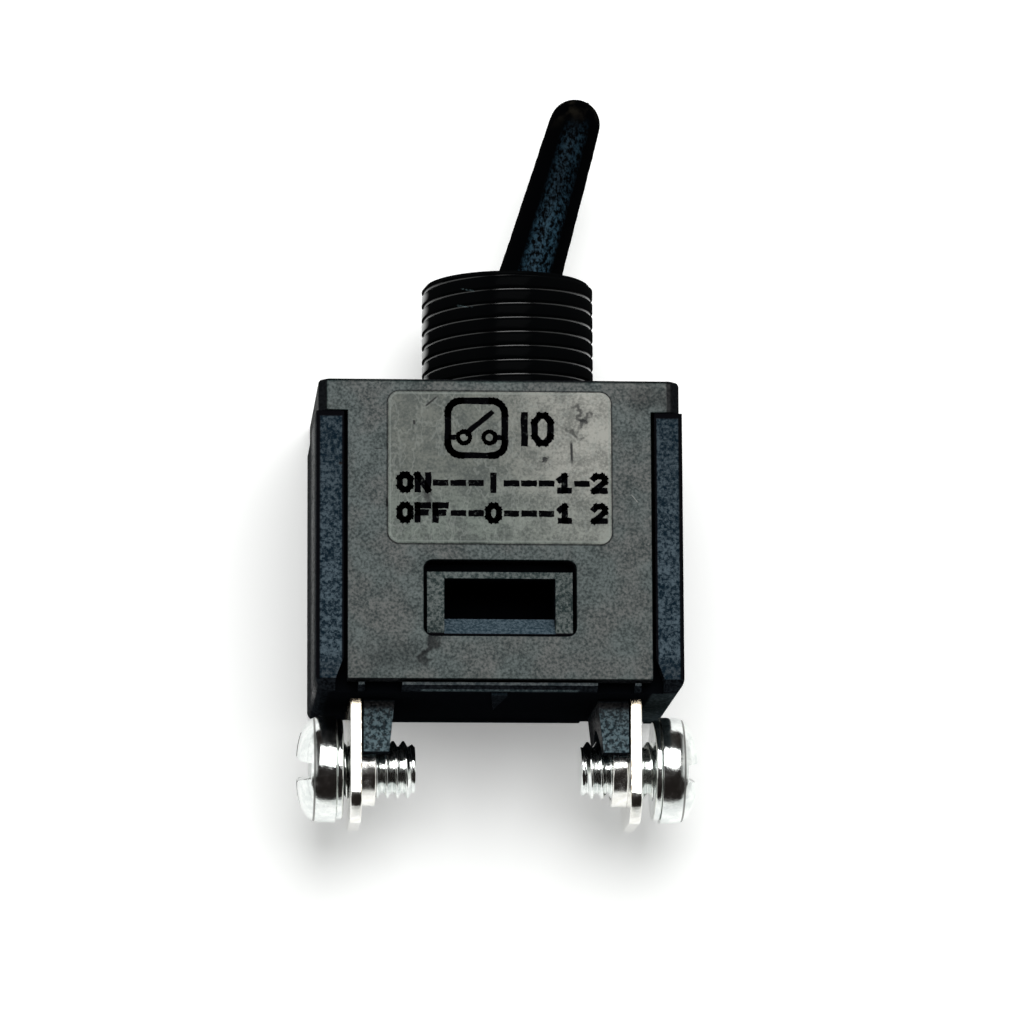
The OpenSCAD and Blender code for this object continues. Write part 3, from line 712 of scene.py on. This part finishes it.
# strokes of each letter on a grid that is one high
glyphs = {
    "O": [[(0.22, 0.0), (0.48, 0.0), (0.7, 0.24), (0.7, 0.76), (0.48, 1.0), (0.22, 1.0), (0.0, 0.76),
           (0.0, 0.24), (0.22, 0.0)]],
    "N": [[(0.0, 0.0), (0.0, 1.0), (0.7, 0.0), (0.7, 1.0)]],
    "F": [[(0.0, 0.0), (0.0, 1.0), (0.7, 1.0)], [(0.0, 0.5), (0.55, 0.5)]],
    "I": [[(0.35, 0.0), (0.35, 1.0)]],
    "1": [[(0.08, 0.75), (0.38, 1.0), (0.38, 0.0)], [(0.1, 0.0), (0.66, 0.0)]],
    "2": [[(0.0, 0.85), (0.15, 1.0), (0.55, 1.0), (0.7, 0.85), (0.7, 0.6), (0.0, 0.0), (0.7, 0.0)]],
    "-": [[(0.05, 0.48), (0.68, 0.48)]],
}
# advance is the step to the next letter
printing = {
    "z": 8.592, "stroke": 0.42, "tall": 1.0, "wide": 1.02, "advance": 1.21, "rag": 0.06, "ragWaves": 4.0,
    "lines": [("ON---I---1-2", -8.0, -7.75), ("OFF--O---1 2", -8.0, -9.85)],
    "large": [("I", 0.0, -4.45), ("O", 1.25, -4.45)], "largeTall": 1.9, "largeWide": 1.55,
    "frame": 0.46, "box": (-4.7, -0.8, -5.35, -1.55), "boxCorner": 0.9, "sign": 0.36,
    "leads": [[(-4.5, -4.1), (-4.1, -4.1)], [(-1.4, -4.1), (-1.0, -4.1)]],
    "arm": [(-3.4, -3.8), (-1.75, -2.4)],
    "rings": [(-3.6, -4.1), (-1.85, -4.1)], "ringR": 0.4, "ringLine": 0.8, "ringSteps": 20,
}


def flatStroke(mesh, points, width):
    # a flat line of the given width through the points
    for first, second in zip(points, points[1:]):
        a = Vector((*first, printing["z"]))
        b = Vector((*second, printing["z"]))
        side = Vector((a.y - b.y, b.x - a.x, 0.0)).normalized() * (width / 2.0)
        along = (b - a).normalized() * (width / 2.0)
        corners = [a - along - side, b + along - side, b + along + side, a - along + side]
        mesh.faces.new([mesh.verts.new(corner * mm) for corner in corners])


def makePrinting():
    mesh = bmesh.new()
    left, right, low, high = printing["box"]
    bend = printing["boxCorner"]
    outline = []
    for turn, (x, y) in enumerate([(right - bend, high - bend), (left + bend, high - bend),
                                   (left + bend, low + bend), (right - bend, low + bend)]):
        for step in range(7):
            angle = math.radians(turn * 90.0 + step * 15.0)
            outline.append((x + bend * math.cos(angle), y + bend * math.sin(angle)))
    flatStroke(mesh, outline + outline[:1], printing["frame"])
    # open switch sign in the frame: two leads with their terminals, and a raised arm
    width = printing["sign"]
    for points in [*printing["leads"], printing["arm"]]:
        flatStroke(mesh, points, width)
    radius, steps = printing["ringR"], printing["ringSteps"]
    turns = [math.tau * step / steps for step in range(steps + 1)]
    for x, y in printing["rings"]:
        ring = [(x + radius * math.cos(turn), y + radius * math.sin(turn)) for turn in turns]
        flatStroke(mesh, ring, width * printing["ringLine"])
    for letter, x, y in printing["large"]:
        for points in glyphs[letter]:
            line = [(x + px * printing["largeWide"], y + py * printing["largeTall"]) for px, py in points]
            flatStroke(mesh, line, printing["frame"])
    for word, x, y in printing["lines"]:
        for place, letter in enumerate(word):
            start = x + place * printing["advance"]
            for points in glyphs.get(letter, []):
                line = [(start + px * printing["wide"], y + py * printing["tall"]) for px, py in points]
                flatStroke(mesh, line, printing["stroke"])
    # thermal print: slightly ragged edges
    bmesh.ops.subdivide_edges(mesh, edges=mesh.edges, cuts=3, use_grid_fill=True)
    waves = printing["ragWaves"]
    for vertex in mesh.verts:
        spot = vertex.co / mm
        vertex.co.x += noise.noise(Vector((spot.x * waves, spot.y * waves, 2.0))) * printing["rag"] * mm
        vertex.co.y += noise.noise(Vector((spot.x * waves, spot.y * waves, 9.0))) * printing["rag"] * mm
    addPiece("label_printing", mesh, "housing", "label_film", material=ink)


makePrinting()
print("label made")

lever = {"pivot": (0.0, 3.5, 0.0), "lean": 16.3, "length": 19.1, "root": 4.7, "tip": 3.56, "edge": 0.08,
         "flash": 0.035, "flashFrom": 3.2, "flashSunk": 0.03, "flashHalf": 0.05, "flashSteps": 90,
         "nub": 0.13, "nubRise": 0.955, "nubSide": 0.25}


def leverAxis():
    lean = math.radians(lever["lean"])
    return Vector((math.sin(lean), math.cos(lean), 0.0))


def makeLever():
    mesh = cadCopy("lever")
    softEdges(mesh, lever["edge"])
    # a fine flash line on both sides of the mould's parting plane, and the gate's nub on the tip
    along = leverAxis()
    across = Vector((along.y, -along.x, 0.0))
    start = Vector(lever["pivot"])
    rootR = lever["root"] / 2.0
    tipR = lever["tip"] / 2.0
    straight = lever["length"] - tipR
    sunk = lever["flashSunk"]
    half = Vector((0.0, 0.0, lever["flashHalf"]))
    for side in (-1.0, 1.0):
        rows = []
        for step in range(lever["flashSteps"] + 1):
            share = step / lever["flashSteps"]
            reach = lever["flashFrom"] + (straight - lever["flashFrom"]) * share
            radius = rootR + (tipR - rootR) * reach / straight
            bump = max(0.1, 0.6 + 0.9 * noise.noise(Vector((reach * 1.7, side * 5.0, 0.4))))
            foot = start + along * reach + across * side * (radius - sunk)
            crest = foot + across * side * (sunk + lever["flash"] * bump)
            rows.append([mesh.verts.new(place * mm) for place in (foot - half, crest, foot + half)])
        for first, second in zip(rows, rows[1:]):
            for item in (0, 1):
                mesh.faces.new((first[item], first[item + 1], second[item + 1], second[item]))
    nub = bmesh.ops.create_icosphere(mesh, subdivisions=2, radius=lever["nub"] * mm)
    lift = start + along * (straight + tipR * lever["nubRise"]) + across * tipR * lever["nubSide"]
    bmesh.ops.translate(mesh, verts=nub["verts"], vec=lift * mm)
    addPiece("lever_moulding", mesh, "toggle", "lever_plastic", ["lever"])


makeLever()
print("lever made")

screw = {"radius": 2.0, "depth": 0.38, "pitch": 0.7, "length": 5.5, "chamfer": 0.4, "rootLine": 0.3,
         "segments": 56, "profile": cutThread, "y": -25.9, "edge": 0.09, "shankReach": 2.05,
         "sides": {"left": (-12.07, 1.0), "right": (10.42, -1.0)}, "slotTurn": {"left": 10.0, "right": 11.0},
         "headR": 3.7, "headH": 2.7, "rim": 0.594, "fullness": 2.8, "headTop": 2.647}


def makeScrew(side):
    node = "screw_" + side
    seat, inward = screw["sides"][side]
    mesh = cadCopy(node)
    # the plain shank makes room for the thread
    shank = []
    for face in mesh.faces:
        inside = [(v.co.x / mm - seat) * inward > -0.01 and
                  math.hypot(v.co.y / mm - screw["y"], v.co.z / mm) < screw["shankReach"] for v in face.verts]
        if all(inside):
            shank.append(face)
    bmesh.ops.delete(mesh, geom=shank, context="FACES")
    # fuller pan head: the points on the dome move out to a squarer curve
    dome = screw["headH"] - screw["rim"]
    for vertex in mesh.verts:
        rise = (seat - vertex.co.x / mm) * inward - screw["rim"]
        y, z = vertex.co.y / mm - screw["y"], vertex.co.z / mm
        r = math.hypot(y, z)
        if rise > 0.01 and abs(math.hypot(r / screw["headR"], rise / dome) - 1.0) < 0.012:
            angle = math.atan2(rise / dome, r / screw["headR"])
            wide = screw["headR"] * max(0.0, math.cos(angle)) ** (2.0 / screw["fullness"])
            high = dome * math.sin(angle) ** (2.0 / screw["fullness"])
            if r > 1e-6:
                vertex.co.y = (screw["y"] + y * wide / r) * mm
                vertex.co.z = z * wide / r * mm
            vertex.co.x = (seat - min(screw["rim"] + high, screw["headTop"]) * inward) * mm
    turn = Matrix.Rotation(math.radians(screw["slotTurn"][side]), 3, "X")
    bmesh.ops.rotate(mesh, cent=Vector((seat, screw["y"], 0.0)) * mm, matrix=turn, verts=mesh.verts)
    softEdges(mesh, screw["edge"])
    spin = standing((seat, screw["y"], 0.0), (inward, 0.0, 0.0))
    threadSkin(mesh, screw, spin)
    ringFace(mesh, spin, 0.0005, screw["radius"] - screw["chamfer"], screw["length"], screw["segments"])
    addPiece(node + "_threaded", mesh, side + "_screw", "plated_steel", [node])


washer = {"edge": 0.14, "steps": 3}


def makeWasher(side):
    mesh = cadCopy("washer_" + side)
    softEdges(mesh, washer["edge"], washer["steps"])
    addPiece("washer_" + side + "_disc", mesh, side + "_clamp", "plated_steel", ["washer_" + side])


terminal = {"edge": 0.09, "cornerRound": 0.6, "cornerSteps": 6, "cornerTurn": (30.0, 60.0), "tabEnd": -27.0,
            "thick": 0.7}


def makeTerminal(node):
    mesh = cadCopy(node)
    least, most = [math.radians(angle) for angle in terminal["cornerTurn"]]
    corners = []
    for edge in mesh.edges:
        atEnd = all(v.co.y < terminal["tabEnd"] * mm for v in edge.verts)
        through = abs(edge.verts[0].co.x - edge.verts[1].co.x) > terminal["thick"] * mm
        if atEnd and through and least < edge.calc_face_angle(0.0) < most:
            corners.append(edge)
    roundEdges(mesh, corners, terminal["cornerRound"], terminal["cornerSteps"])
    softEdges(mesh, terminal["edge"])
    addPiece(node + "_stamping", mesh, "housing", "plated_brass", [node])


for side in ("left", "right"):
    makeScrew(side)
    makeWasher(side)
for node in ("common_terminal", "load_terminal"):
    makeTerminal(node)
print("terminals made")

# body, material slot and width of the soft edges
inner = {
    "pivot_pin": ("toggle", "pin_steel", 0.12),
    "plunger": ("follower", "natural_nylon", 0.08),
    "rocker_arm": ("rocker", "copper_strip", 0.05),
    "moving_contact": ("rocker", "contact_silver", 0.05),
    "fixed_contact": ("housing", "contact_silver", 0.05),
}
for node, (body, slotName, width) in inner.items():
    mesh = cadCopy(node)
    softEdges(mesh, width)
    addPiece(node + "_finished", mesh, body, slotName, [node])

# coil in the lever's lower arm, measured from the pivot along the lever
spring = {"wire": 0.36, "coil": 1.28, "from": -5.82, "to": -1.98, "turns": 6, "steps": 32, "sides": 12,
          "stop": -1.8, "stroke": 0.8}


def makeSpring():
    mesh = bmesh.new()
    along = leverAxis()
    spin = standing(lever["pivot"], along)
    total = spring["turns"] * spring["steps"]
    rows = []
    for step in range(total + 1):
        angle = math.tau * step / spring["steps"]
        rise = spring["from"] + (spring["to"] - spring["from"]) * step / total
        row = []
        for side in range(spring["sides"]):
            around = math.tau * side / spring["sides"]
            r = spring["coil"] + spring["wire"] / 2.0 * math.cos(around)
            z = rise + spring["wire"] / 2.0 * math.sin(around)
            row.append(mesh.verts.new(spin @ (Vector((r * math.cos(angle), r * math.sin(angle), z)) * mm)))
        rows.append(row)
    for first, second in zip(rows, rows[1:]):
        for side in range(spring["sides"]):
            after = (side + 1) % spring["sides"]
            mesh.faces.new((first[side], second[side], second[after], first[after]))
    mesh.faces.new(rows[0])
    mesh.faces.new(rows[-1][::-1])
    piece = addPiece("lever_spring_coil", mesh, "toggle", "spring_steel", ["lever_spring"])
    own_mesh(piece)


makeSpring()
print("inner pieces made")

floorSize = {"half": 900.0, "z": -8.5, "glow": 0.27, "sheet": (0.925, 0.935, 0.925), "fade": (60.0, 170.0)}
white = (1.0, 1.0, 1.0)


def makeFloor():
    material = bpy.data.materials.new("white_sheet")
    material.use_nodes = True
    tree = material.node_tree
    tree.nodes.remove(tree.nodes["Principled BSDF"])
    start = Wire(tree)
    paper = start.node("BsdfDiffuse", {}, {"Color": (*floorSize["sheet"], 1.0)})
    glow = start.node("Emission", {}, {"Color": (*white, 1.0), "Strength": floorSize["glow"]})
    bright = start.node("AddShader", {}, {0: paper, 1: glow})
    seen = start.node("LightPath", {}, {}, "Is Camera Ray")
    for ray in ("Is Glossy Ray", "Is Transmission Ray"):
        seen = larger(seen, start.node("LightPath", {}, {}, ray))
    near = start.node("MixShader", {}, {0: seen, 1: paper, 2: bright})
    # fades to white, so that no grey line shows where the floor ends
    spot = start.node("TexCoord", {}, {}, "Object")
    reach = spot.node("VectorMath", {"operation": "LENGTH"}, {0: spot}, "Value") * (1.0 / mm)
    far = ramp(reach, *floorSize["fade"]) * seen
    plain = start.node("Emission", {}, {"Color": (*white, 1.0), "Strength": 1.0})
    both = start.node("MixShader", {}, {0: far, 1: near, 2: plain})
    both.into(tree.nodes["Material Output"], "Surface")
    mesh = bmesh.new()
    half = floorSize["half"]
    corners = [(-half, -half), (half, -half), (half, half), (-half, half)]
    mesh.faces.new([mesh.verts.new(Vector((x, y, floorSize["z"])) * mm) for x, y in corners])
    data = bpy.data.meshes.new("floor")
    mesh.to_mesh(data)
    mesh.free()
    data.materials.append(material)
    floor = bpy.data.objects.new("floor", data)
    bpy.context.scene.collection.objects.link(floor)
    return floor


softbox = {"spot": (30.0, 165.0, 480.0), "size": 380.0, "power": 2.5}


def makeSoftbox():
    data = bpy.data.lights.new("softbox", "AREA")
    data.size = softbox["size"] * mm
    data.energy = softbox["power"]
    shown = bpy.data.objects.new("softbox", data)
    shown.location = Vector(softbox["spot"]) * mm
    shown.rotation_euler = Vector(softbox["spot"]).to_track_quat("Z", "Y").to_euler()
    bpy.context.scene.collection.objects.link(shown)


# limits are shares of the direction looked in
room = {
    "shades": {"dark": (0.016, 0.013, 0.012), "right": (0.9, 0.92, 0.9), "left": (1.2, 1.22, 1.2),
               "white": white},
    "sides": (0.4, 0.75), "low": (0.28, 0.10), "front": (0.5, 0.2), "leftward": (0.2, -0.4),
    "viewerBack": (-0.2, -0.36), "viewerHigh": (0.22, 0.34),
}


def makeRoom():
    # pale walls to the sides and low down, dark above and on the viewer's side, white where the camera
    # looks at it
    world = bpy.data.worlds.new("room")
    bpy.context.scene.world = world
    world.use_nodes = True
    tree = world.node_tree
    tree.nodes.remove(tree.nodes["Background"])
    start = Wire(tree)
    look = start.node("TexCoord", {}, {}, "Generated")
    x, y, z = [look.node("SeparateXYZ", {}, {"Vector": look}, axis) for axis in "XYZ"]
    walls = larger(ramp(abs(x), *room["sides"]), ramp(z, *room["low"]) * ramp(y, *room["front"]))
    viewer = ramp(y, *room["viewerBack"]) * ramp(z, *room["viewerHigh"])
    shades = {}
    for name, shade in room["shades"].items():
        shades[name] = start.node("Background", {}, {"Color": (*shade, 1.0)})
    leftward = ramp(x, *room["leftward"])
    pale = start.node("MixShader", {}, {0: leftward, 1: shades["right"], 2: shades["left"]})
    shown = start.node("MixShader", {}, {0: walls * (1.0 - viewer), 1: shades["dark"], 2: pale})
    seen = start.node("LightPath", {}, {}, "Is Camera Ray")
    both = start.node("MixShader", {}, {0: seen, 1: shown, 2: shades["white"]})
    both.into(tree.nodes["World Output"], "Surface")


makeFloor()
makeSoftbox()
makeRoom()
bpy.context.scene.view_settings.view_transform = "Standard"
print("light and floor set")

# place of the camera, fitted to the edges of the body in the photo
view = {"azimuth": -21.882, "elevation": 79.073, "roll": 21.973, "distance": 400.0, "focal": 5729.6,
        "pixels": 1024.0, "target": (0.285, -7.728, 0.0), "sensor": 36.0, "nearest": 0.01}


def makeCamera():
    turn = math.radians(view["azimuth"])
    lift = math.radians(view["elevation"])
    roll = math.radians(view["roll"])
    back = Vector((math.sin(turn) * math.cos(lift), -math.cos(turn) * math.cos(lift), math.sin(lift)))
    right = Vector((math.cos(turn), math.sin(turn), 0.0))
    up = back.cross(right)
    imageRight = right * math.cos(roll) + up * math.sin(roll)
    imageUp = up * math.cos(roll) - right * math.sin(roll)
    place = Matrix((imageRight, imageUp, back)).transposed().to_4x4()
    place.translation = (Vector(view["target"]) + back * view["distance"]) * mm
    data = bpy.data.cameras.new("camera")
    data.sensor_width = view["sensor"]
    data.lens = view["focal"] * data.sensor_width / view["pixels"]
    data.clip_start = view["nearest"]
    camera = bpy.data.objects.new("camera", data)
    camera.matrix_world = place
    bpy.context.scene.collection.objects.link(camera)
    bpy.context.scene.camera = camera


makeCamera()
print("camera set")
